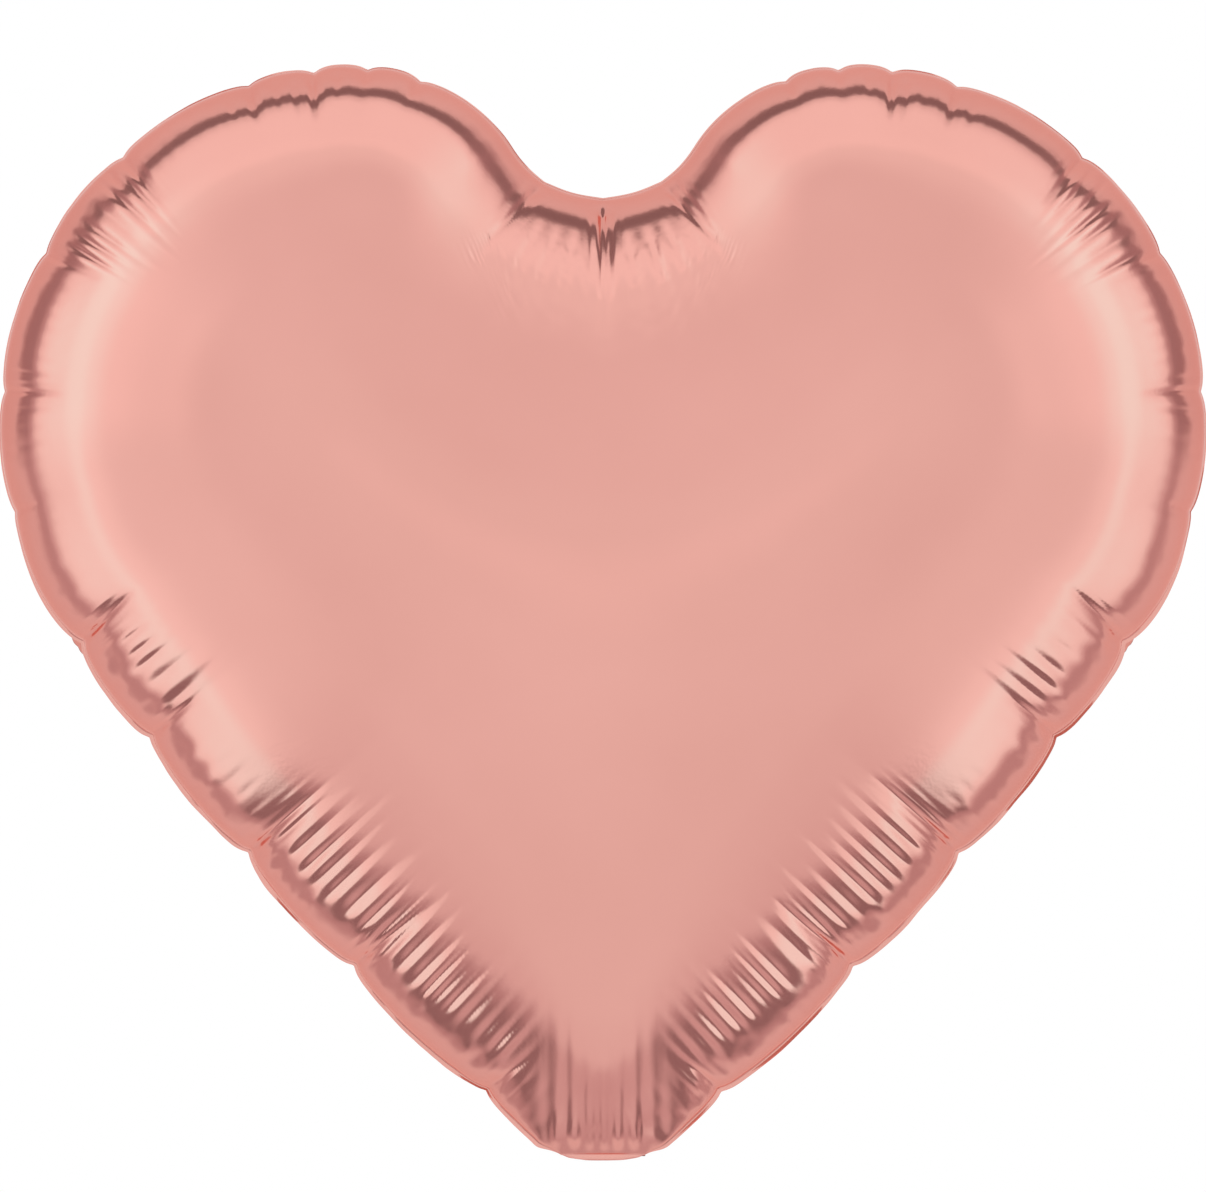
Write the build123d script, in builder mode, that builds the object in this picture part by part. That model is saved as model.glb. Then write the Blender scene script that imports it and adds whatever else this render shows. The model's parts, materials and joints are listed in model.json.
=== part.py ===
"""Heart-shaped foil balloon, inflated, with its inflation tail folded up behind it.

Millimetres, +Z up. The origin is the middle of the neck fold, where the heart's tip turns into the tail.
The seam lies in the plane Y = 0, the front panel bulges towards -Y and the rear panel towards +Y.
"""
from build123d import *
from math import atan2, cos, degrees, radians, sin
import os

# Seam outline, drawn half and mirrored. Heights are above the neck fold.
WIDTH = 380.0
HEIGHT = 344.0
LOBE_RADIUS = 112.0
SHOULDER_RADIUS = 60.0  # top of each lobe, where it turns down into the cleft
CLEFT_HEIGHT = 303.0  # lowest point of the cleft between the lobes
SIDE_ANGLE = 35.0  # how far below level the round lobe runs into the long side
NECK_WIDTH = 27.0
NECK_GAP = 2.6  # the panels stop this far above the fold, clear of the turning tail

# Inflated form: each level of the dome is the outline, shrunk towards the crown's axis
HALF_DEPTH = 98.0
CROWN_HEIGHT = 228.0
LEVEL_SIZES = (1.0, 0.97, 0.9, 0.78, 0.6, 0.4, 0.25, 0.12)
DOME_POWER = 1.4
DOME_EXPONENT = 0.55

# Foil sheets
FILM = 0.6
SEAM = 3.0  # width of the heat-sealed edge

# One-way valve: two soft films, side by side in a flat passage through the neck
VALVE_FILM = 0.5
VALVE_WIDTH = 20.0
VALVE_TOP = 92.0  # height of the films' free inner ends
SLACK = 0.05  # room at each face and edge of a film
LAND_HEIGHT = 9.0  # top of the thicker seam round the passage

# Tail: measured along itself from the fold, and leaning back from upright against the rear panel
TAIL_START = 0.4
TAIL_LENGTH = 55.0
TAIL_LEAN = 60.0
MOUTH_SETBACK = 8.0  # the valve films end this far inside the tail's open end

# Derived
POCKET = VALVE_FILM + 2 * SLACK  # half the thickness of the passage
POCKET_WIDTH = VALVE_WIDTH + 2 * SLACK
LAYER = POCKET + FILM
CROWN = Plane(origin=(0, 0, CROWN_HEIGHT), x_dir=(1, 0, 0), z_dir=(0, -1, 0))
FRONT = 1
REAR = -1


def dome_depth(size):
    """Height of the dome above the seam where the outline has shrunk to this size."""
    return HALF_DEPTH * (1 - size**DOME_POWER) ** DOME_EXPONENT


def heart(plane, inset=0.0, size=1.0):
    """The seam outline, inset all round and then shrunk about the plane's origin, the crown."""
    lobe_x = WIDTH / 2 - LOBE_RADIUS
    lobe_y = HEIGHT - LOBE_RADIUS - CROWN_HEIGHT
    shoulder_y = HEIGHT - SHOULDER_RADIUS - CROWN_HEIGHT
    cleft_y = CLEFT_HEIGHT - CROWN_HEIGHT
    neck_y = NECK_GAP - CROWN_HEIGHT

    # the cleft's arc touches both shoulders
    drop = shoulder_y - cleft_y
    cleft_radius = (lobe_x**2 + drop**2 - SHOULDER_RADIUS**2) / (2 * (SHOULDER_RADIUS + drop))
    cleft_turn = degrees(atan2(drop - cleft_radius, lobe_x)) + 90

    # the long side leaves the lobe smoothly and ends at the corner of the neck
    outward = Vector(cos(radians(SIDE_ANGLE)), -sin(radians(SIDE_ANGLE)))
    start = Vector(lobe_x, lobe_y) + outward * LOBE_RADIUS
    chord = Vector(NECK_WIDTH / 2, neck_y) - start
    side_radius = -chord.dot(chord) / (2 * chord.dot(outward))
    side = start - outward * side_radius
    side_end = degrees(atan2(neck_y - side.Y, NECK_WIDTH / 2 - side.X))

    with BuildSketch(plane) as sketch:
        with BuildLine():
            CenterArc((0, cleft_y + cleft_radius), cleft_radius, -90, cleft_turn)
            CenterArc((lobe_x, shoulder_y), SHOULDER_RADIUS, 90, cleft_turn)
            CenterArc((lobe_x, lobe_y), LOBE_RADIUS, -SIDE_ANGLE, 90 + SIDE_ANGLE)
            CenterArc((side.X, side.Y), side_radius, side_end, -SIDE_ANGLE - side_end)
            Line((NECK_WIDTH / 2, neck_y), (0, neck_y))
            mirror(about=Plane.YZ)
        make_face()
        if inset:
            offset(amount=-inset, mode=Mode.REPLACE)
        scale(by=size, mode=Mode.REPLACE)
    return sketch.sketch


def dome_levels(sunk, inset):
    """Outlines of the dome from the seam to the crown, all of them sunk towards the seam."""
    return [
        heart(CROWN.offset(max(dome_depth(size) - sunk, 0)), inset, size)
        for size in LEVEL_SIZES
    ]


# Both panels: a dished foil shell, its half of the flat seam, and its half of the valve's passage
with BuildPart() as front_panel:
    loft(sections=dome_levels(0, SEAM))
    extrude(heart(CROWN), amount=FILM)
    loft(sections=dome_levels(FILM, SEAM + FILM), mode=Mode.SUBTRACT)
    with BuildSketch(Plane.XZ) as land:
        with Locations((0, NECK_GAP)):
            Rectangle(NECK_WIDTH, LAND_HEIGHT - NECK_GAP, align=(Align.CENTER, Align.MIN))
    extrude(amount=LAYER)
    with BuildSketch(Plane.XZ) as passage:
        Rectangle(POCKET_WIDTH, LAND_HEIGHT, align=(Align.CENTER, Align.MIN))
    extrude(amount=POCKET, mode=Mode.SUBTRACT)
front_panel.part.label = "front_panel"

with BuildPart() as rear_panel:
    mirror(front_panel.part, about=Plane.XZ)
rear_panel.part.label = "rear_panel"


# Tail: its plane's normal is the outside of the front layer, and it runs towards the plane's -Y
TAIL = Plane(
    origin=(0, 0, 0),
    x_dir=(1, 0, 0),
    z_dir=(0, cos(radians(TAIL_LEAN)), -sin(radians(TAIL_LEAN))),
)


def tail_layer(side):
    """One foil layer of the tail, with its side seams and its half of the valve's passage."""
    with BuildPart() as layer:
        with BuildSketch(TAIL):
            with Locations((0, -TAIL_START)):
                Rectangle(NECK_WIDTH, TAIL_LENGTH - TAIL_START, align=(Align.CENTER, Align.MAX))
        extrude(amount=side * LAYER)
        with BuildSketch(TAIL):
            Rectangle(POCKET_WIDTH, TAIL_LENGTH, align=(Align.CENTER, Align.MAX))
        extrude(amount=side * POCKET, mode=Mode.SUBTRACT)
    return layer


def valve_film(plane, side, low, high):
    """One flat valve film on the front or rear side of a plane, between two heights."""
    with BuildPart(plane) as film:
        with Locations((0, (low + high) / 2, side * (SLACK + VALVE_FILM / 2))):
            Box(VALVE_WIDTH, high - low, VALVE_FILM)
    return film


tail_front = tail_layer(FRONT)
tail_front.part.label = "tail_front"
tail_rear = tail_layer(REAR)
tail_rear.part.label = "tail_rear"

# Valve films: one pair hangs free inside the balloon, the other lies in the tail
valve_front_film = valve_film(Plane.XZ, FRONT, NECK_GAP, VALVE_TOP)
valve_front_film.part.label = "valve_front_film"
valve_rear_film = valve_film(Plane.XZ, REAR, NECK_GAP, VALVE_TOP)
valve_rear_film.part.label = "valve_rear_film"
valve_front_mouth = valve_film(TAIL, FRONT, MOUTH_SETBACK - TAIL_LENGTH, -TAIL_START)
valve_front_mouth.part.label = "valve_front_mouth"
valve_rear_mouth = valve_film(TAIL, REAR, MOUTH_SETBACK - TAIL_LENGTH, -TAIL_START)
valve_rear_mouth.part.label = "valve_rear_mouth"

os.makedirs("parts", exist_ok=True)
export_step(front_panel.part, "parts/front_panel.step")
export_step(rear_panel.part, "parts/rear_panel.step")
export_step(tail_front.part, "parts/tail_front.step")
export_step(tail_rear.part, "parts/tail_rear.step")
export_step(valve_front_film.part, "parts/valve_front_film.step")
export_step(valve_rear_film.part, "parts/valve_rear_film.step")
export_step(valve_front_mouth.part, "parts/valve_front_mouth.step")
export_step(valve_rear_mouth.part, "parts/valve_rear_mouth.step")
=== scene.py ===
"""Looks of the heart-shaped foil balloon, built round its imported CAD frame. Metres, +Z up."""
import json
import math

import bpy
import numpy as np
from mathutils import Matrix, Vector
from mathutils.kdtree import KDTree


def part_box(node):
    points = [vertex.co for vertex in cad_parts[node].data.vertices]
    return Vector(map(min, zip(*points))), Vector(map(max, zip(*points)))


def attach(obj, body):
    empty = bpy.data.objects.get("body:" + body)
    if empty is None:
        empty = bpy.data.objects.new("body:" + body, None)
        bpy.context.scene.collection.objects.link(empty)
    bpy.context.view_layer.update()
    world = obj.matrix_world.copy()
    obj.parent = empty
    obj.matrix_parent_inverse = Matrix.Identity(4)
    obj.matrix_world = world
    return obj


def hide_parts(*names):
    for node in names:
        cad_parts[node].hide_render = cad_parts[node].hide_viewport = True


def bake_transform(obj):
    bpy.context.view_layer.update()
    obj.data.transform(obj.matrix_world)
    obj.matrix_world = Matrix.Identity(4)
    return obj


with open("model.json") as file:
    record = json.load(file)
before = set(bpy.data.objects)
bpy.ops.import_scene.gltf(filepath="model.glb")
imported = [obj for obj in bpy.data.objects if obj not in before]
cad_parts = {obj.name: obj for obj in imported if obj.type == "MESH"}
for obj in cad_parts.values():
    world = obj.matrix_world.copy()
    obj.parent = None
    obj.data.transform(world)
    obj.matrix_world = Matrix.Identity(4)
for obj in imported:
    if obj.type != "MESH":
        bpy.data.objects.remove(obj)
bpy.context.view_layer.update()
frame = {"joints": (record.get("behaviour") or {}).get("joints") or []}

MM = 0.001
FLOOR_HEIGHT = -0.33

# ---------------------------------------------------------------- sizes, in mm, from the frame
PANEL_LOW, PANEL_HIGH = (np.array(corner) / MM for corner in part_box("front_panel"))
FOLD = np.array(frame["joints"][0]["pos_m"]) / MM
WIDTH = PANEL_HIGH[0] - PANEL_LOW[0]
TOP = PANEL_HIGH[2] - FOLD[2]
DEPTH = PANEL_HIGH[1] - PANEL_LOW[1]

# the seam's outline, as in the CAD model
LOBE_RADIUS = 112.0
SHOULDER_RADIUS = 60.0
CLEFT = 303.0
SIDE_ANGLE = math.radians(35)
NECK_HALF = 13.5
CROWN = 192.0  # height where the mesh's columns meet
DOME_REACH = 120.0  # distance from the seam at which the dome is level
DOME_POWER = 1.4
DOME_EXPONENT = 0.55

# the foil's mesh
COLUMNS = 1800
BEARING_HEIGHT = 228.0  # height of the point that bearings are taken from
EDGE = 2.0  # visible width of the sealed edge outside the weld line
EDGE_ROWS = (1.0, 0.66, 0.33)  # rows of the sealed edge, as shares of its width
FOIL = 0.12  # drawn gap between the two sheets in the sealed edge
ROWS = 62
FINE_ROWS = 38  # rows that keep every column
HALVING_ROWS = 7  # past those, every so many rows keep half as many columns
MOST_HALVINGS = 3
ROW_BEND = 22.0  # columns leave the seam square to it and bend to the centre over this distance

# the tail and the fold above it
TAIL_LENGTH = 55.0
TAIL_LEAN = math.radians(60)
TAIL_START = 1.4  # the tail's own sheets start this far past the fold
TAIL_SEAM = 3.2  # width of its side seams
TAIL_BASE = 0.14  # half the drawn thickness of its side seams
TAIL_FILL = 0.75  # half the thickness of the tail between its side seams
TAIL_CURL = 2.4  # how far its end curls towards the balloon
TAIL_ROWS, TAIL_COLUMNS = 110, 56
FOLD_RADIUS = 0.5
FOLD_TOP, FOLD_END = 4.2, 3.0  # how far the fold's film reaches into the balloon and into the tail
FOLD_HALF_THICKNESS = 0.3
FOLD_POINTS = 96  # points round the fold's flattened tube
CORNER_LIFT = 1.7  # how far the fold's two corners are pulled up

# the valve's films
VALVE_HALF = 10.0
VALVE_TOP = 92.0
MOUTH_SETBACK = 8.0
FILM_GAP, FILM_THICKNESS = 0.02, 0.08
FILM_COLUMNS = 25

# Main creases on each half: bearing round the crown from straight up, length, depth, and sideways
# drift per mm inwards. The seam is notched at each one.
CREASES = (
    (12.7, 43, 2.4, 0.15),
    (26.9, 8, 2.2, 0.0),
    (32.6, 7, 2.2, 0.0),
    (38.3, 20, 2.6, 0.0),
    (45.3, 16, 2.2, 0.0),
    (59.9, 24, 2.4, 0.0),
    (72.0, 13, 1.6, 0.0),
    (86.0, 22, 1.8, 0.0),
    (97.6, 10, 1.4, 0.0),
    (111.9, 29, 3.2, -0.1),
    (123.8, 19, 2.8, 0.0),
    (139.7, 37, 3.4, 0.0),
    (154.7, 37, 3.2, 0.05),
    (169.7, 24, 2.6, 0.1),
)
# Finer folds beside them, which don't notch the seam: bearing, length and depth
FINE_CREASES = (
    (14.6, 34, 1.0), (35.8, 15, 1.5), (39.9, 19, 2.0), (42.0, 16, 1.6), (47.3, 14, 1.4), (61.6, 20, 1.6),
    (63.4, 15, 1.1), (74.0, 11, 1.1), (84.3, 15, 1.0), (87.8, 18, 1.1), (113.5, 25, 1.6), (138.2, 26, 0.9),
    (141.0, 31, 1.2), (153.4, 22, 0.9), (156.0, 30, 1.2), (171.2, 16, 0.9),
)
CENTRE_CREASE = (60, 3.3)  # length and depth of the crease that runs down from the cleft
# Strength and reach of the fine ripples, and height of the small bubbles beside the seam, between one
# crease and the next, from the cleft to the neck
RIPPLES = (
    (0.56, 62, 0.15), (0.1, 10, 0.15), (0.1, 8, 0.55), (0.1, 8, 0.55), (0.15, 8, 0.3), (0.16, 9, 0.2),
    (0.62, 32, 0.35), (0.2, 12, 0.3), (0.14, 12, 0.2), (0.14, 12, 0.2), (0.36, 30, 0.4),
    (0.16, 16, 0.35), (0.44, 40, 0.35), (0.44, 40, 0.3), (0.3, 18, 0.3),
)
RIPPLE_PITCH = 5.8
CLEFT_PITCH = 3.9  # the ripples start closer together under the cleft, where they fan out
RIPPLE_HEIGHT = 1.35
CLEFT_NOTCH, SEAM_NOTCH = 0.1, 0.45  # share of a crease's depth that shows in the seam's outline
CREASE_RISE = 5.0  # distance from the seam at which a crease has its full depth
LINE_PITCH, LINE_SPREAD, LINE_SHARE = 2.9, 4.6, 0.1  # the fine lines beside each crease
PILLOW_REACH = 14.0
PUCKER_PITCH, PUCKER_PLACE, PUCKER_SPREAD = 2.6, 3.2, 2.2
SCALLOP_PITCH, SCALLOP_PLACE, SCALLOP_SPREAD, SCALLOP_HEIGHT = 4.2, 7.5, 3.0, 1.2
GATHER_PITCH, GATHER_REACH, GATHER_HEIGHT = 5.2, 15.0, 0.75
# Bearings where the rear sheet bulges past the front, and how far
REAR_BULGES = ((111.9, 6.5), (160.0, 4.0))
BULGE_SPREAD, BULGE_REACH = 6.0, 8.0
TIP_FILL = 22.0  # the tip gains its depth over about this height


def smooth(x, low, high):
    """0 below low, 1 above high, and a smooth step between."""
    t = np.clip((x - low) / (high - low), 0, 1)
    return t * t * (3 - 2 * t)


def arc(centre, radius, start, end):
    """Points on an arc, about half a millimetre apart."""
    t = np.linspace(start, end, max(8, int(abs(end - start) * radius * 2)))[:-1]
    return np.stack([centre[0] + radius * np.cos(t), centre[1] + radius * np.sin(t)], 1)


def seam_outline(count):
    """Evenly spaced points round the seam, from the cleft over the +X lobe to the neck and back."""
    lobe = np.array([WIDTH / 2 - LOBE_RADIUS, TOP - LOBE_RADIUS])
    shoulder = np.array([lobe[0], TOP - SHOULDER_RADIUS])
    drop = shoulder[1] - CLEFT
    cleft_radius = (lobe[0] ** 2 + drop ** 2 - SHOULDER_RADIUS ** 2) / (2 * (SHOULDER_RADIUS + drop))
    cleft_end = math.atan2(drop - cleft_radius, lobe[0])
    outward = np.array([math.cos(SIDE_ANGLE), -math.sin(SIDE_ANGLE)])
    start = lobe + outward * LOBE_RADIUS
    neck = np.array([NECK_HALF, 0.0])
    chord = neck - start
    side_radius = -chord @ chord / (2 * chord @ outward)
    side = start - outward * side_radius
    side_end = math.atan2(neck[1] - side[1], neck[0] - side[0])
    half = np.concatenate([
        arc((0, CLEFT + cleft_radius), cleft_radius, -math.pi / 2, cleft_end),
        arc(shoulder, SHOULDER_RADIUS, cleft_end + math.pi, math.pi / 2),
        arc(lobe, LOBE_RADIUS, math.pi / 2, -SIDE_ANGLE),
        arc(side, side_radius, -SIDE_ANGLE, side_end),
        np.linspace(neck, (0, 0), 30),
    ])
    whole = np.concatenate([half, (half * [-1, 1])[::-1][1:]])
    run = np.r_[0, np.cumsum(np.hypot(*np.diff(whole, axis=0).T))]
    at = np.arange(count) * run[-1] / count
    return np.stack([np.interp(at, run, whole[:, k]) for k in (0, 1)], 1), at, run[-1]


def wave_noise(x, pitch, rng, period):
    """Smooth random values between about -1 and 1 along a closed run, one change per pitch."""
    knots = max(4, int(round(period / pitch)))
    values = rng.uniform(-1, 1, knots)
    t = x / period * knots
    i = np.floor(t).astype(int)
    f = t - i
    f = f * f * (3 - 2 * f)
    return values[i % knots] * (1 - f) + values[(i + 1) % knots] * f


SEAM_XZ, RUN, PERIMETER = seam_outline(COLUMNS)
CENTRE = np.array([0.0, CROWN])


def ring_blur(values, width):
    """Smooths values round the closed seam; width in mm."""
    reach = int(4 * width / PERIMETER * COLUMNS)
    k = np.exp(-0.5 * (np.arange(-reach, reach + 1) * PERIMETER / COLUMNS / width) ** 2)
    wrapped = np.concatenate([values[-reach:], values, values[:reach]])
    return np.convolve(wrapped, k / k.sum(), "valid")


def seam_frame():
    """Outward direction of the seam at each column, and the direction its column runs inwards."""
    tangent = np.roll(SEAM_XZ, -1, 0) - np.roll(SEAM_XZ, 1, 0)
    outward = np.stack([-tangent[:, 1], tangent[:, 0]], 1)
    outward /= np.hypot(*outward.T)[:, None]
    if (outward * (CENTRE - SEAM_XZ)).sum() > 0:
        outward = -outward
    inward = np.stack([ring_blur(-outward[:, k], 9.0) for k in (0, 1)], 1)
    return outward, inward / np.hypot(*inward.T)[:, None]


OUTWARD, INWARD = seam_frame()
WELD = SEAM_XZ - OUTWARD * EDGE * 0.5


def seam_tree():
    """A search tree over the weld line."""
    tree = KDTree(COLUMNS)
    for k, (x, z) in enumerate(WELD):
        tree.insert((x, z, 0), k)
    tree.balance()
    return tree


SEAM_TREE = seam_tree()


def seam_coordinates(points):
    """Distance of flat points from the weld line, and their place along it."""
    flat = points.reshape(-1, 2)
    nearest = np.array([SEAM_TREE.find((x, z, 0))[1] for x, z in flat])
    rel = flat - WELD[nearest]
    out = OUTWARD[nearest]
    distance = np.maximum(-(rel * out).sum(1), 0)
    place = RUN[nearest] + rel[:, 0] * out[:, 1] - rel[:, 1] * out[:, 0]
    return distance.reshape(points.shape[:-1]), (place % PERIMETER).reshape(points.shape[:-1])


def bearing_run(bearing):
    """Place along the seam, on the +X half, that lies at this bearing round the crown."""
    half = COLUMNS // 2
    rel = SEAM_XZ[:half] - (0, BEARING_HEIGHT)
    bearings = np.degrees(np.arctan2(rel[:, 0], rel[:, 1]))
    return float(np.interp(bearing, bearings, RUN[:half]))


def crease_list():
    """(place, length, depth, drift, notch) of every main crease, round the whole seam."""
    found = [(0.0,) + CENTRE_CREASE + (0.0, CLEFT_NOTCH)]
    for k, (bearing, length, depth, drift) in enumerate(CREASES):
        place = bearing_run(bearing)
        notch = SEAM_NOTCH if k else CLEFT_NOTCH
        found.append((place, length, depth, drift, notch))
        found.append((PERIMETER - place, length, depth, -drift, notch))
    return sorted(found)


def fine_crease_list():
    """The same for the fine creases, which the two halves share unevenly."""
    rng = np.random.default_rng(3)
    found = []
    for bearing, length, depth in FINE_CREASES:
        for sign in (1, -1):
            place = sign * (bearing_run(bearing) + rng.uniform(-1.2, 1.2)) % PERIMETER
            found.append((place, length * rng.uniform(0.7, 1.15), depth * rng.uniform(0.5, 1.2), 0.0, 0.0))
    return found


CLEFT_RUN = bearing_run(CREASES[0][0]) + 1.0  # length of seam on each side that belongs to the cleft
ALL_CREASES = crease_list()
ALL_FINE_CREASES = fine_crease_list()
LOWER = smooth(-OUTWARD[:, 1], 0.1, 0.6)  # 1 on the long lower sides and 0 on the lobes
PILLOWS = 0.9 + 1.2 * LOWER  # how far the foil swells between creases
PILLOWS *= 0.25 + 0.75 * smooth(np.minimum(RUN, PERIMETER - RUN), CLEFT_RUN * 0.6, CLEFT_RUN * 2)


def crease_gap(place):
    """Number of the gap between two main creases that each place lies in, and the ends of all gaps."""
    ends = np.array([crease[0] for crease in ALL_CREASES] + [PERIMETER])
    return np.clip(np.searchsorted(ends, place, side="right") - 1, 0, len(ends) - 2), ends


def segment_along(place):
    """How far along its gap between two creases each place is, from 0 to 1."""
    gap, ends = crease_gap(place)
    return (place - ends[gap]) / (ends[gap + 1] - ends[gap])


def ripple_tables():
    """The columns of RIPPLES at each column of the mesh, eased from one gap to the next."""
    gap = crease_gap(RUN)[0]
    table = np.array(RIPPLES)[np.minimum(gap, 2 * len(CREASES) - gap)]
    return [ring_blur(column, 2.5) for column in table.T]


RIPPLE_STRENGTH, RIPPLE_REACH, BUBBLES = ripple_tables()


def along_seam(values, place):
    """Values given per column, read at any place along the seam."""
    return np.interp(place, np.r_[RUN, PERIMETER], np.r_[values, values[:1]])


def neck_fade(flat):
    """0 at the straight neck and 1 away from it."""
    return smooth(np.hypot(np.maximum(np.abs(flat[..., 0]) - NECK_HALF, 0), flat[..., 1]), 0, 9)


def pillows(distance, place):
    """Height by which the foil swells between one crease and the next."""
    swell = 1 - np.abs(2 * segment_along(place) - 1) ** 2.2
    return along_seam(PILLOWS, place) * swell * np.exp(-distance / PILLOW_REACH)


def crease_valley(flat, start, length, depth, drift, notch, sharpness):
    """Depth of one crease at flat points: a valley with a few fine lines beside it."""
    column = int(round(start / PERIMETER * COLUMNS)) % COLUMNS
    inward = INWARD[column]
    rel = flat - WELD[column]
    reach = np.maximum(rel @ inward, 0)
    across = rel @ np.array([-inward[1], inward[0]]) - drift * reach
    fade = np.clip(1 - reach / length, 0, 1) ** 1.1
    grow = notch + (1 - notch) * smooth(reach, 0, CREASE_RISE)
    width = (1.2 + 0.32 * depth) * (0.35 + 0.65 * fade)
    valley = np.exp(-np.sqrt(across ** 2 + 0.2) / width)
    lines = np.cos(2 * np.pi * (across + 0.5) / LINE_PITCH) * np.exp(-(across / LINE_SPREAD) ** 2)
    lines *= LINE_SHARE * sharpness * smooth(reach, 2, 7)
    return depth * grow * fade * (valley + lines)


def ripples(distance, place, rng):
    """Depth of the fans of fine ripples that run in from the seam."""
    past_cleft = np.where(place < PERIMETER / 2, place, place - PERIMETER)
    phase = place / RIPPLE_PITCH + 0.42 * wave_noise(place, 13, rng, PERIMETER)
    phase += (1 / CLEFT_PITCH - 1 / RIPPLE_PITCH) * np.clip(past_cleft, -CLEFT_RUN, CLEFT_RUN)
    ridge = 1 - 2 * np.abs(np.cos(np.pi * phase)) ** 1.3
    gain = 1 + 0.45 * wave_noise(place, 6.0, rng, PERIMETER)
    ends = along_seam(RIPPLE_REACH, place) * (1 + 0.25 * wave_noise(place, 4.5, rng, PERIMETER))
    start = 5 + 7 * (1 - smooth(np.minimum(place, PERIMETER - place), CLEFT_RUN, CLEFT_RUN + 6))
    start += 3.5 * along_seam(LOWER, place)
    fade = np.clip(1 - (distance - 4) / ends, 0, 1) ** 1.5 * smooth(distance - start, 0, 10)
    return RIPPLE_HEIGHT * along_seam(RIPPLE_STRENGTH, place) * gain * ridge * fade


def puckers(distance, place, rng):
    """Height of the small bubbles close to the seam."""
    pucker = wave_noise(place, PUCKER_PITCH, rng, PERIMETER)
    pucker = pucker * (0.6 + 0.4 * wave_noise(place, 30, rng, PERIMETER))
    near = np.exp(-((distance - PUCKER_PLACE) / PUCKER_SPREAD) ** 2)
    return along_seam(BUBBLES, place) * pucker * near


def scallops(distance, place, rng):
    """Height of the larger bubbles inside those, on the lower sides."""
    bubbles = np.exp(-((distance - SCALLOP_PLACE) / SCALLOP_SPREAD) ** 2)
    bubbles = bubbles * wave_noise(place, SCALLOP_PITCH, rng, PERIMETER)
    return SCALLOP_HEIGHT * along_seam(BUBBLES * LOWER, place) * bubbles


def gathers(flat, rng):
    """Height of the gathers that run up from the straight neck."""
    x, z = flat[..., 0], flat[..., 1]
    waves = np.cos(2 * math.pi * x / GATHER_PITCH + 1.4 * np.sin(x / 6) + rng.uniform(0, 6))
    waves *= np.exp(-z / GATHER_REACH) * (1 - smooth(np.abs(x), 10, 24))
    return GATHER_HEIGHT * waves * smooth(z, 0, 8)


def relief(flat, distance, place, rng, sharpness):
    """Height of all the foil's folds over its smooth form at flat points."""
    height = pillows(distance, place)
    for start, length, depth, drift, notch in ALL_CREASES + ALL_FINE_CREASES:
        length = length * rng.uniform(0.9, 1.12)
        depth = depth * rng.uniform(0.85, 1.15)
        height -= crease_valley(flat, start, length, depth, drift, notch, sharpness)
    height -= ripples(distance, place, rng)
    height += puckers(distance, place, rng)
    height += scallops(distance, place, rng)
    height += gathers(flat, rng)
    return height * neck_fade(flat)


def rear_bulges(place, distance, height):
    """The rear sheet's height, changed to bulge outwards beside some of the front's creases."""
    for bearing, bulge in REAR_BULGES:
        for centre in (bearing_run(bearing), PERIMETER - bearing_run(bearing)):
            share = np.exp(-((place - centre) / BULGE_SPREAD) ** 2)
            swell = bulge * share * smooth(distance, 0, 2) * np.exp(-distance / BULGE_REACH)
            height = height * (1 - share) + swell
    return height


def dome_depth(distance):
    """Depth of the smooth dome at this distance from the seam."""
    size = 1 - np.clip(distance / DOME_REACH, 0, 1)
    return DEPTH * np.clip(1 - size ** DOME_POWER, 0, 1) ** DOME_EXPONENT


def tip_share(z):
    """How much of the full depth there is at this height: the tip fills less than the lobes."""
    return (1 - np.exp(-(z + 2) / TIP_FILL)) * (0.88 + 0.12 * smooth(z, 60, 210))


def blur(field, width):
    """Gaussian blur of a grid; width in cells."""
    k = np.exp(-0.5 * (np.arange(-int(4 * width), int(4 * width) + 1) / width) ** 2)
    k /= k.sum()
    for axis in (0, 1):
        field = np.apply_along_axis(np.convolve, axis, field, k, "same")
    return field


class SoftDome:
    """The dome's depth on a plain grid, blurred more towards the middle, where panels are smooth."""

    STEP = 2.0

    def __init__(self):
        self.x = np.arange(-WIDTH / 2 - 20, WIDTH / 2 + 20, self.STEP)
        self.z = np.arange(-20, TOP + 20, self.STEP)
        grid = np.stack(np.meshgrid(self.x, self.z), 2)
        raw = dome_depth(seam_coordinates(grid)[0])
        self.levels = [blur(raw, 7.0 / self.STEP), blur(raw, 17.0 / self.STEP)]

    def sample(self, field, flat):
        """Value of a grid at flat points."""
        fx, fz = (flat[..., 0] - self.x[0]) / self.STEP, (flat[..., 1] - self.z[0]) / self.STEP
        ix, iz = np.floor(fx).astype(int), np.floor(fz).astype(int)
        tx, tz = fx - ix, fz - iz
        low = field[iz, ix] * (1 - tx) + field[iz, ix + 1] * tx
        high = field[iz + 1, ix] * (1 - tx) + field[iz + 1, ix + 1] * tx
        return low * (1 - tz) + high * tz

    def depth(self, flat, distance):
        """Depth of the dome at flat points whose distance from the seam is known."""
        depth = dome_depth(distance)
        for field, low, high in zip(self.levels, (9, 26), (22, 58)):
            weight = smooth(distance, low, high)
            depth = depth * (1 - weight) + self.sample(field, flat) * weight
        return depth * tip_share(flat[..., 1])


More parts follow.
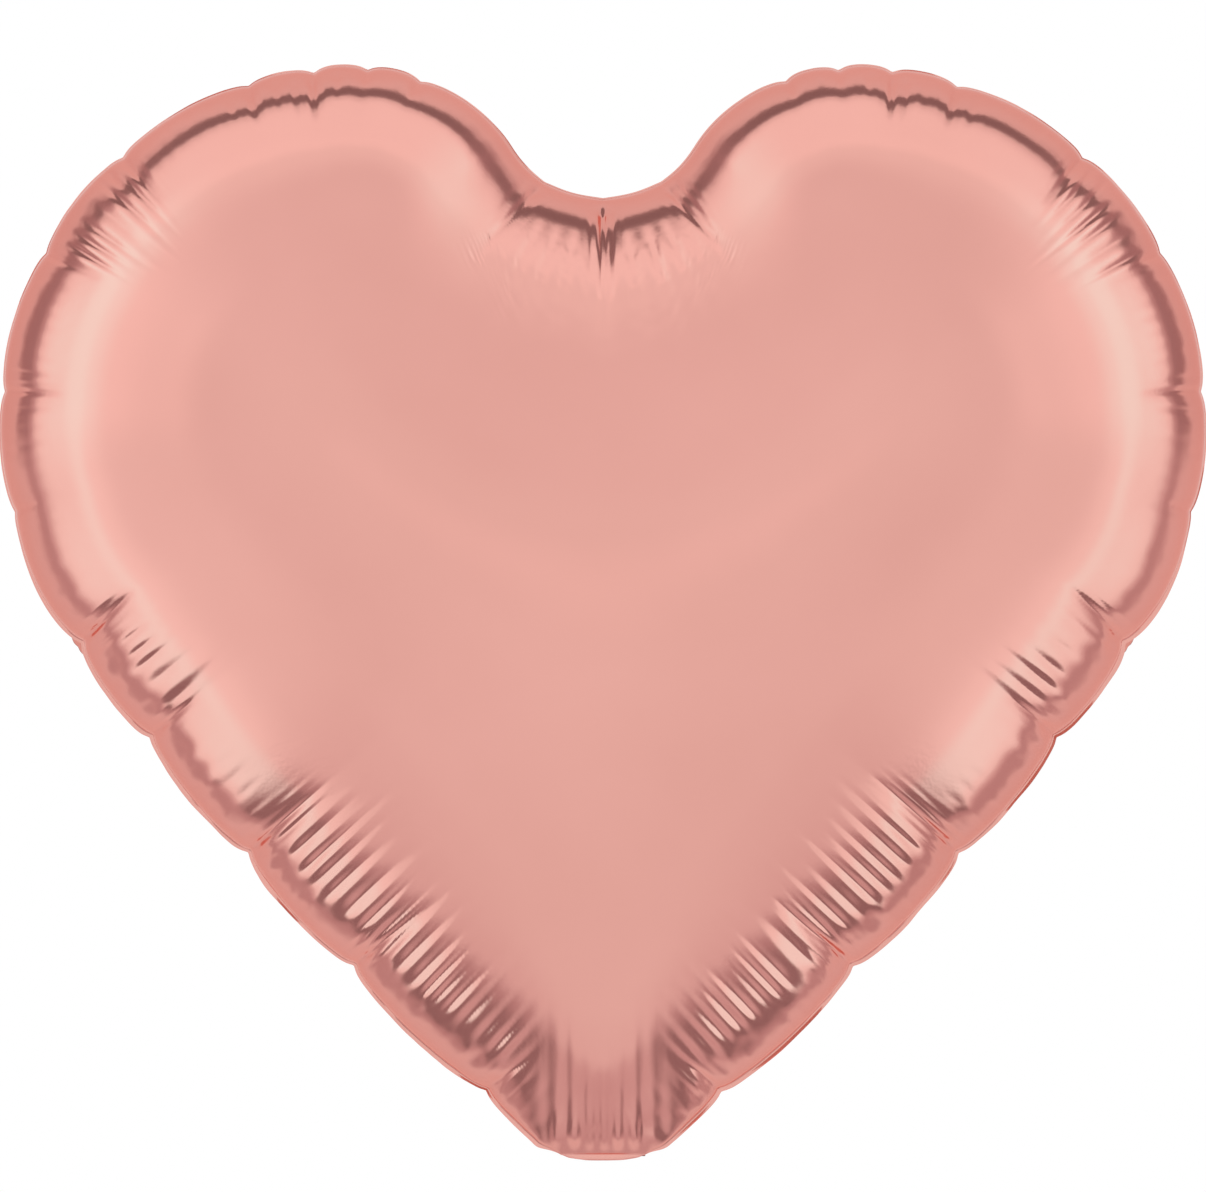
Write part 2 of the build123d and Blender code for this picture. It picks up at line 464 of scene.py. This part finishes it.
def flat_rows():
    """Flat place of every row and column: each column bends from square to the seam to the centre."""
    to_centre = CENTRE - WELD
    to_centre /= np.hypot(*to_centre.T)[:, None]
    beside_neck = 1 - smooth(WELD[:, 1], 6, 70)[:, None]
    leave = INWARD * (1 - beside_neck) + to_centre * beside_neck
    leave /= np.hypot(*leave.T)[:, None]
    first = WELD + leave * ROW_BEND
    second = first + (CENTRE - first) * 0.35
    u = np.arange(ROWS) / ROWS
    t = (0.42 * u + 0.58 * u ** 2)[:, None, None]
    middle = 3 * first * t * (1 - t) ** 2 + 3 * second * t ** 2 * (1 - t)
    return WELD * (1 - t) ** 3 + middle + CENTRE * t ** 3


def surface_normals(points, side):
    """Outward normals of a grid of points that runs inwards by rows and round by columns."""
    around = np.roll(points, -1, 1) - np.roll(points, 1, 1)
    inward = np.gradient(points, axis=0)
    normal = np.cross(around, inward) * side
    return normal / np.maximum(np.linalg.norm(normal, axis=2, keepdims=True), 1e-9)


def panel_surface(side, seed):
    """Points of one foil panel, in mm: rows from its outer edge to the crown. side is -1 in front."""
    rng = np.random.default_rng(seed)
    points = np.stack([FLAT[..., 0], side * DOME.depth(FLAT, DISTANCE), FLAT[..., 1]], 2)
    normal = surface_normals(points, side)
    outward = np.stack([OUTWARD[:, 0], 0 * RUN, OUTWARD[:, 1]], 1)
    if (normal[1] * outward).sum() < 0:
        normal = -normal
    normal[0] = outward
    height = relief(FLAT, DISTANCE, PLACE, rng, 1.0)
    if side > 0:
        height = rear_bulges(PLACE, DISTANCE, height)
    height += (SEAM_HEIGHT[None, :] - height[:1]) * np.exp(-DISTANCE / 5)
    points += normal * height[..., None]
    points[..., 1] += SEAM_WEAVE[None, :] * np.exp(-DISTANCE / 7) + side * FOIL / 2
    return np.concatenate([edge_rows(points[0], outward), points])


def edge_rows(weld, outward):
    """The flat sealed edge outside the weld line, tilted and wavy."""
    rows = []
    for reach in EDGE_ROWS:
        width = EDGE * reach * EDGE_WIDTH
        out = weld + outward * (width * np.cos(EDGE_TILT))[:, None]
        out[:, 1] += width * np.sin(EDGE_TILT)
        rows.append(out)
    return np.array(rows)


def column_steps(rows):
    """How many columns each row skips: the crown needs fewer than the rim."""
    steps = []
    for row in range(rows):
        halvings = int(np.clip((row - FINE_ROWS) // HALVING_ROWS + 1, 0, MOST_HALVINGS))
        steps.append(2 ** halvings)
    return steps


def sheet_faces(steps, flip):
    """Faces between rows whose column steps stay the same or double, closed at the crown."""
    starts = np.r_[0, np.cumsum([COLUMNS // s for s in steps])]
    faces = []
    for row in range(len(steps) - 1):
        a, b = starts[row], starts[row + 1]
        n, m = COLUMNS // steps[row], COLUMNS // steps[row + 1]
        if n == m:
            faces += [(a + i, a + (i + 1) % n, b + (i + 1) % n, b + i) for i in range(n)]
            continue
        for i in range(m):
            p, q, r = a + 2 * i, a + 2 * i + 1, a + (2 * i + 2) % n
            s, t = b + i, b + (i + 1) % m
            faces += [(p, q, s), (q, t, s), (q, r, t)]
    last, n = starts[-2], COLUMNS // steps[-1]
    faces += [(last + i, last + (i + 1) % n, starts[-1]) for i in range(n)]
    if flip:
        faces = [f[::-1] for f in faces]
    return faces


def make_object(name, points, faces, material):
    """A mesh piece from points in mm, shaded smooth, with its material."""
    mesh = bpy.data.meshes.new(name)
    mesh.from_pydata((np.asarray(points) * MM).tolist(), [], faces)
    mesh.update()
    mesh.polygons.foreach_set("use_smooth", [True] * len(mesh.polygons))
    obj = bpy.data.objects.new(name, mesh)
    bpy.context.scene.collection.objects.link(obj)
    mesh.materials.append(material)
    return obj


def foil_panel(name, side, seed, material):
    """One foil sheet, from its sealed edge in to the crown."""
    surface = panel_surface(side, seed)
    steps = column_steps(len(surface))
    faces = sheet_faces(steps, side > 0)
    outer = [surface[row][::step] for row, step in enumerate(steps)]
    crown = surface[-1][::steps[-1]].mean(0)
    crown[1] = side * DOME.depth(CENTRE[None], np.array([DOME_REACH]))[0]
    points = np.concatenate(outer + [crown[None]])
    return make_object(name, points, faces, material)


# ---------------------------------------------------------------- seam shape shared by both panels
seam_rng = np.random.default_rng(18)
FLAT = flat_rows()
DISTANCE, PLACE = seam_coordinates(FLAT)
DISTANCE[0], PLACE[0] = 0, RUN
DOME = SoftDome()
SEAM_HEIGHT = relief(FLAT[:1], DISTANCE[:1], PLACE[:1], seam_rng, 0.0)[0]
SEAM_WEAVE = 1.1 * wave_noise(RUN, 24, seam_rng, PERIMETER) + 0.35 * wave_noise(RUN, 6, seam_rng, PERIMETER)
SEAM_WEAVE *= neck_fade(WELD)
EDGE_TILT = np.radians(20) * wave_noise(RUN, 16, seam_rng, PERIMETER)
EDGE_WIDTH = (0.8 + 0.2 * wave_noise(RUN, 9, seam_rng, PERIMETER)) * neck_fade(WELD)
EDGE_WIDTH *= 0.25 + 0.5 * smooth(-OUTWARD[:, 1], 0.3, 0.6)


# ---------------------------------------------------------------- materials
def principled(name):
    """A new material with its nodes, links and shader."""
    material = bpy.data.materials.new(name)
    material.use_nodes = True
    nodes, links = material.node_tree.nodes, material.node_tree.links
    return material, nodes, links, nodes["Principled BSDF"]


def clouded(nodes, links, shader, scale, detail, colours, spread=(0.3, 0.7)):
    """Gives the shader two colours that drift into each other, and returns the noise and its place."""
    place = nodes.new("ShaderNodeTexCoord")
    cloud = nodes.new("ShaderNodeTexNoise")
    cloud.inputs["Scale"].default_value = scale
    cloud.inputs["Detail"].default_value = detail
    links.new(place.outputs["Object"], cloud.inputs["Vector"])
    colour = nodes.new("ShaderNodeValToRGB")
    for element, position, shade in zip(colour.color_ramp.elements, spread, colours):
        element.position = position
        element.color = (*shade, 1)
    links.new(cloud.outputs["Fac"], colour.inputs["Fac"])
    links.new(colour.outputs["Color"], shader.inputs["Base Color"])
    return cloud, place


def varied_roughness(nodes, links, shader, cloud, low, high):
    """Makes the shader's roughness follow the noise."""
    rough = nodes.new("ShaderNodeMapRange")
    rough.inputs["To Min"].default_value = low
    rough.inputs["To Max"].default_value = high
    links.new(cloud.outputs["Fac"], rough.inputs["Value"])
    links.new(rough.outputs["Result"], shader.inputs["Roughness"])


def foil_material():
    """Satin rose gold metallised film with a faint grain."""
    material, nodes, links, shader = principled("rose_gold_foil")
    shader.inputs["Metallic"].default_value = 0.9
    shader.inputs["Specular Tint"].default_value = (0.93, 0.56, 0.50, 1)
    cloud, place = clouded(nodes, links, shader, 14.0, 3.0, ((0.845, 0.415, 0.355), (0.880, 0.438, 0.378)))
    varied_roughness(nodes, links, shader, cloud, 0.09, 0.14)
    grain = nodes.new("ShaderNodeTexNoise")
    grain.inputs["Scale"].default_value = 900.0
    links.new(place.outputs["Object"], grain.inputs["Vector"])
    bump = nodes.new("ShaderNodeBump")
    bump.inputs["Strength"].default_value = 0.06
    bump.inputs["Distance"].default_value = 0.0002
    links.new(grain.outputs["Fac"], bump.inputs["Height"])
    links.new(bump.outputs["Normal"], shader.inputs["Normal"])
    return material


def valve_material():
    """Milky, slightly cloudy plastic film."""
    material, nodes, links, shader = principled("milky_valve_film")
    shader.inputs["Transmission Weight"].default_value = 0.25
    shader.inputs["IOR"].default_value = 1.45
    cloud, _ = clouded(nodes, links, shader, 60.0, 4.0, ((0.78, 0.78, 0.76), (0.88, 0.88, 0.86)))
    varied_roughness(nodes, links, shader, cloud, 0.3, 0.5)
    return material


def floor_material():
    """Plain pale studio floor."""
    material, nodes, links, shader = principled("pale_floor")
    shader.inputs["Roughness"].default_value = 0.9
    clouded(nodes, links, shader, 3.0, 2.0, ((0.80, 0.79, 0.78), (0.84, 0.83, 0.82)), (0.0, 1.0))
    return material


FOIL_MATERIAL = foil_material()
VALVE_MATERIAL = valve_material()


# ---------------------------------------------------------------- tail, fold and valve
def grid_faces(rows, columns, flip=False, closed=False):
    """Quads of a grid of points; closed joins each row's end to its start."""
    faces = []
    for i in range(rows - 1):
        for j in range(columns if closed else columns - 1):
            k = (j + 1) % columns
            face = (i * columns + j, i * columns + k, (i + 1) * columns + k, (i + 1) * columns + j)
            faces.append(face[::-1] if flip else face)
    return faces


def tail_frame(along):
    """Points on the tail's middle line and the direction out of its front layer."""
    bend = TAIL_CURL * (along / TAIL_LENGTH) ** 2
    slope = 2 * TAIL_CURL * along / TAIL_LENGTH ** 2
    run = np.array([0.0, math.sin(TAIL_LEAN), math.cos(TAIL_LEAN)])
    out = np.array([0.0, math.cos(TAIL_LEAN), -math.sin(TAIL_LEAN)])
    centre = along[:, None] * run - bend[:, None] * out
    normal = out + slope[:, None] * run
    return centre, normal / np.linalg.norm(normal, axis=1)[:, None]


def crumple(shape, rng, pitch):
    """Smooth random waves over a grid, between about -1 and 1."""
    coarse = [max(2, int(round(n / pitch)) + 1) for n in shape]
    values = rng.uniform(-1, 1, coarse)
    for axis, (n, knots) in enumerate(zip(shape, coarse)):
        t = np.linspace(0, knots - 1, n)
        i = np.minimum(t.astype(int), knots - 2)
        f = smooth(t - i, 0, 1)
        f = f[:, None] if axis == 0 else f[None]
        values = np.take(values, i, axis) * (1 - f) + np.take(values, i + 1, axis) * f
    return values


def tail_sway(along, x):
    """Shallow waves that the tail's layers and the films between them share."""
    return 0.25 * np.sin(along / 6.1 + x / 8) + 0.12 * np.sin(along / 2.9 - x / 4.3 + 1)


def tail_sheet(name, side, seed):
    """One foil layer of the tail: sealed down both sides, slightly full between, open at its end."""
    rng = np.random.default_rng(seed)
    shape = (TAIL_ROWS, TAIL_COLUMNS)
    along = np.linspace(TAIL_START, TAIL_LENGTH, TAIL_ROWS)
    across = np.linspace(-1, 1, TAIL_COLUMNS)
    centre, normal = tail_frame(along)
    inner = np.clip((1 - np.abs(across)) * NECK_HALF / TAIL_SEAM, 0, 1)
    fill = smooth(np.clip((1 - np.abs(across)) * NECK_HALF - TAIL_SEAM, 0, None), 0, 5)
    mouth = smooth(along, TAIL_START - 1, 12) * (0.7 + 0.45 * smooth(along, TAIL_LENGTH - 12, TAIL_LENGTH))
    height = TAIL_BASE + TAIL_FILL * fill[None] * mouth[:, None]
    height += 0.12 * crumple(shape, rng, 11) * inner[None]
    height += 0.05 * crumple(shape, rng, 4) * inner[None]
    height = np.maximum(height, TAIL_BASE)
    x = across[None] * (NECK_HALF - 0.25 + 0.15 * np.sin(along / 5)[:, None])
    height = side * height + tail_sway(along[:, None], x)
    points = centre[:, None] + normal[:, None] * height[..., None]
    points[..., 0] = x
    return make_object(name, points.reshape(-1, 3), grid_faces(*shape, side > 0), FOIL_MATERIAL)


def fold_path():
    """Middle line of the fold's film and its outward direction, from the balloon round into the tail."""
    body = [((0.0, 0.0, h), (0.0, -1.0, 0.0)) for h in np.linspace(FOLD_TOP, 0.3, 9)]
    bend = []
    for turn in np.linspace(0, math.pi - TAIL_LEAN, 22):
        normal = np.array([0.0, -math.cos(turn), -math.sin(turn)])
        bend.append((np.array([0.0, FOLD_RADIUS, 0.0]) + FOLD_RADIUS * normal, normal))
    end, direction = bend[-1][0], np.array([0.0, math.sin(TAIL_LEAN), math.cos(TAIL_LEAN)])
    inside = np.linspace(0.2, FOLD_END, 12)
    tail = [(end + direction * s, bend[-1][1]) for s in inside]
    before_tail = np.ones(len(body) + len(bend))
    taper = np.r_[before_tail, 0.35 + 0.6 * (1 - smooth(inside, 0, 1.0))]
    lift = np.r_[before_tail, 1 - smooth(inside, 0, FOLD_END)]
    return body + bend + tail, taper, lift


def neck_fold():
    """The film that turns from the heart's tip into the tail, as a flattened tube."""
    rng = np.random.default_rng(41)
    path, taper, lift = fold_path()
    turn = np.arange(FOLD_POINTS) * 2 * math.pi / FOLD_POINTS
    rows = []
    for k, (centre, normal) in enumerate(path):
        thick = (FOLD_HALF_THICKNESS + 0.08 * np.abs(np.sin(turn * 2))) * taper[k]
        x = (NECK_HALF - 0.3) * np.sign(np.cos(turn)) * np.abs(np.cos(turn)) ** 0.8
        h = thick * np.sign(np.sin(turn)) * np.abs(np.sin(turn)) ** 0.5
        row = np.array(centre)[None] + h[:, None] * np.array(normal)[None]
        row[:, 0] += x
        rows.append(row)
    points = np.array(rows)
    waves = crumple((len(path), FOLD_POINTS // 2), rng, 5)
    waves = np.concatenate([waves, waves[:, ::-1]], 1)
    normals = np.array([n for _, n in path])
    points[..., 2] += CORNER_LIFT * lift[:, None] * np.abs(points[..., 0] / NECK_HALF) ** 3
    points += 0.1 * (waves * taper[:, None])[..., None] * normals[:, None]
    faces = grid_faces(len(path), FOLD_POINTS, closed=True)
    return make_object("foil_neck_fold", points.reshape(-1, 3), faces, FOIL_MATERIAL)


def film_strip(name, centre, normal, side, seed, sway=None):
    """One soft valve film as a thin closed strip that follows a middle line."""
    rng = np.random.default_rng(seed)
    rows, columns = len(centre), FILM_COLUMNS
    across = np.linspace(-1, 1, columns)
    loose = 0.5 * FILM_GAP * np.abs(crumple((rows, columns), rng, 9))
    x = across[None] * (VALVE_HALF - 0.1 + 0.08 * crumple((rows, 2), rng, 6)[:, :1])
    waves = 0 * x if sway is None else sway(x)
    layers = []
    for face in (side * FILM_GAP, side * (FILM_GAP + FILM_THICKNESS)):
        points = centre[:, None] + normal[:, None] * (face + side * loose + waves)[..., None]
        points[..., 0] = x
        layers.append(points)
    ring = np.concatenate([layers[0], layers[1][:, ::-1]], 1)
    faces = grid_faces(rows, 2 * columns, closed=True, flip=side < 0)
    for row, turn in ((0, 1), (rows - 1, -1)):
        start = row * 2 * columns
        for j in range(columns - 1):
            face = (start + j, start + 2 * columns - 1 - j, start + 2 * columns - 2 - j, start + j + 1)
            faces.append(face[::turn * (1 if side > 0 else -1)])
    return make_object(name, ring.reshape(-1, 3), faces, VALVE_MATERIAL)


def valve_strips():
    """Both films inside the balloon and both in the tail, each pair lying face to face."""
    height = np.linspace(3.0, VALVE_TOP, 120)
    centre = np.stack([0 * height, 1.6 * np.sin(height / 24) * smooth(height, 8, 40), height], 1)
    normal = np.tile((0.0, -1.0, 0.0), (len(height), 1))
    along = np.linspace(TAIL_START + 0.5, TAIL_LENGTH - MOUTH_SETBACK, 80)
    tail_centre, tail_normal = tail_frame(along)
    for word, side in (("front", 1), ("rear", -1)):
        inner = film_strip(f"valve_film_{word}", centre, normal, side, 61 + side)
        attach(inner, "balloon")
        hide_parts(f"valve_{word}_film")
        mouth = film_strip(f"valve_mouth_{word}", tail_centre, tail_normal, side, 71 + side,
                           lambda x: tail_sway(along[:, None], x))
        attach(mouth, "tail")
        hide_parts(f"valve_{word}_mouth")


# ---------------------------------------------------------------- pieces
front = foil_panel("foil_front_panel", -1, 5, FOIL_MATERIAL)
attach(front, "balloon")
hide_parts("front_panel")
rear = foil_panel("foil_rear_panel", 1, 9, FOIL_MATERIAL)
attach(rear, "balloon")
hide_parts("rear_panel")
for word, side in (("front", 1), ("rear", -1)):
    layer = tail_sheet(f"foil_tail_{word}", side, 31 + side)
    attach(layer, "tail")
    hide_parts(f"tail_{word}")
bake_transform(neck_fold())
valve_strips()


# ---------------------------------------------------------------- studio
RED_LIMIT = 1.06  # the brightest reflections are whiter than the foil
SHADE_TINT = (0.22, -0.14, -0.05)  # the studio's darkest parts are this much warmer than grey


def ramp(nodes, links, source, stops):
    """A colour ramp over the angle from the camera's side in degrees: grey, and warm where it is dark."""
    node = nodes.new("ShaderNodeValToRGB")
    node.color_ramp.interpolation = "EASE"
    elements = node.color_ramp.elements
    for k, (angle, level) in enumerate(stops):
        element = elements[k] if k < 2 else elements.new(angle / 180)
        element.position = angle / 180
        shade = min(max((0.9 - level) / 0.6, 0.0), 1.0)
        red, green, blue = (level * (1 + tint * shade) for tint in SHADE_TINT)
        element.color = (min(red, RED_LIMIT) / 2, green / 2, blue / 2, 1)
    links.new(source, node.inputs["Fac"])
    return node.outputs["Color"]


def studio_world():
    """Soft studio for the foil to reflect, darker in a ring behind its sides, and a white backdrop."""
    world = bpy.data.worlds.new("studio")
    bpy.context.scene.world = world
    world.use_nodes = True
    nodes, links = world.node_tree.nodes, world.node_tree.links
    nodes.clear()
    place = nodes.new("ShaderNodeTexCoord")
    split = nodes.new("ShaderNodeSeparateXYZ")
    links.new(place.outputs["Generated"], split.inputs[0])

    def maths(operation, a, b=None):
        node = nodes.new("ShaderNodeMath")
        node.operation = operation
        for socket, value in zip(node.inputs, (a, b)):
            if isinstance(value, (int, float)):
                socket.default_value = value
            elif value is not None:
                links.new(value, socket)
        return node.outputs[0]

    towards_back = maths("ARCCOSINE", maths("MULTIPLY", split.outputs["Y"], -1.0))
    angle = maths("DIVIDE", towards_back, math.pi)
    ring = maths("SQRT", maths("MAXIMUM", maths("SUBTRACT", 1.0, maths(
        "MULTIPLY", split.outputs["Y"], split.outputs["Y"])), 1e-4))
    up = maths("DIVIDE", split.outputs["Z"], ring)

    def mix(factor, a, b):
        node = nodes.new("ShaderNodeMix")
        node.data_type = "RGBA"
        links.new(factor, node.inputs[0])
        links.new(a, node.inputs[6])
        links.new(b, node.inputs[7])
        return node.outputs[2]

    def step(value, low, high):
        node = nodes.new("ShaderNodeMapRange")
        node.interpolation_type = "SMOOTHSTEP"
        node.inputs["From Min"].default_value = low
        node.inputs["From Max"].default_value = high
        links.new(value, node.inputs["Value"])
        return node.outputs["Result"]

    sides = ramp(nodes, links, angle, (
        (0, 0.95), (28, 0.9), (56, 0.87), (72, 1.05), (82, 1.28), (90, 1.44), (97, 1.44), (103, 1.05),
        (109, 0.45), (115, 0.3), (125, 0.3), (132, 0.74), (180, 0.85)))
    above = ramp(nodes, links, angle, (
        (0, 0.95), (22, 0.9), (45, 0.86), (66, 0.84), (84, 0.95), (93, 1.05), (101, 1.04), (108, 0.84),
        (111.5, 0.16), (122, 0.16), (124, 0.8), (180, 0.85)))
    flanks = ramp(nodes, links, angle, (
        (0, 0.95), (26, 0.9), (54, 0.87), (70, 0.93), (84, 1.1), (93, 1.34), (100, 1.14), (108, 0.64),
        (112, 0.47), (118, 0.47), (126, 0.76), (180, 0.9)))
    below = ramp(nodes, links, angle, (
        (0, 0.95), (26, 0.91), (62, 0.87), (74, 0.76), (84, 0.42), (92, 0.24), (104, 0.22), (112, 0.45),
        (122, 0.78), (180, 0.9)))
    under = ramp(nodes, links, angle, (
        (0, 0.95), (26, 0.91), (60, 0.87), (80, 0.82), (95, 0.62), (106, 0.55), (120, 0.8), (180, 0.9)))
    down = maths("MULTIPLY", up, -1.0)
    light = mix(step(up, 0.45, 0.92), sides, above)
    light = mix(step(down, -0.1, 0.2), light, flanks)
    light = mix(step(down, 0.67, 0.74), light, below)
    light = mix(step(down, 0.82, 0.95), light, under)
    path = nodes.new("ShaderNodeLightPath")
    white = nodes.new("ShaderNodeRGB")
    white.outputs[0].default_value = (0.5, 0.5, 0.5, 1)
    light = mix(path.outputs["Is Camera Ray"], light, white.outputs[0])
    background = nodes.new("ShaderNodeBackground")
    background.inputs["Strength"].default_value = 2.0
    links.new(light, background.inputs["Color"])
    output = nodes.new("ShaderNodeOutputWorld")
    links.new(background.outputs[0], output.inputs["Surface"])


def camera():
    """Straight-on view from far away, framed on the balloon's full width."""
    frame_width = 379.7 * MM
    height = 176.9 * MM
    distance = 2.4
    data = bpy.data.cameras.new("camera")
    data.sensor_width = 36.0
    data.lens = data.sensor_width * distance / frame_width
    obj = bpy.data.objects.new("camera", data)
    obj.location = (0.0, -distance, height)
    obj.rotation_euler = (math.pi / 2, 0, 0)
    bpy.context.scene.collection.objects.link(obj)
    bpy.context.scene.camera = obj


def floor():
    """A plain pale disc well below the balloon."""
    radius, rings, spokes = 3.0, 6, 96
    turn = np.arange(spokes) * 2 * math.pi / spokes
    points = [(0.0, 0.0, FLOOR_HEIGHT)]
    for ring in range(1, rings + 1):
        reach = radius * ring / rings
        points += [(reach * math.cos(a), reach * math.sin(a), FLOOR_HEIGHT) for a in turn]
    faces = [(0, 1 + k, 1 + (k + 1) % spokes) for k in range(spokes)]
    for ring in range(rings - 1):
        low = 1 + ring * spokes
        for k in range(spokes):
            nxt = (k + 1) % spokes
            faces.append((low + k, low + spokes + k, low + spokes + nxt, low + nxt))
    mesh = bpy.data.meshes.new("studio_floor")
    mesh.from_pydata(points, [], faces)
    mesh.materials.append(floor_material())
    obj = bpy.data.objects.new("studio_floor", mesh)
    bpy.context.scene.collection.objects.link(obj)
    obj.visible_glossy = False


def soft_light(name, location, size, watts):
    """A broad area light aimed at the balloon, left out of the foil's reflections."""
    data = bpy.data.lights.new(name, "AREA")
    data.size = size
    data.energy = watts
    obj = bpy.data.objects.new(name, data)
    obj.location = location
    aim = Vector((0.0, 0.0, TOP * MM / 2)) - Vector(location)
    obj.rotation_euler = aim.to_track_quat("-Z", "Y").to_euler()
    obj.visible_glossy = False
    bpy.context.scene.collection.objects.link(obj)


bpy.context.scene.view_settings.view_transform = "Standard"
studio_world()
floor()
soft_light("key_light", (-1.2, -1.6, 1.9), 1.6, 14.0)
soft_light("fill_light", (1.6, 1.2, 1.5), 1.8, 6.0)
camera()
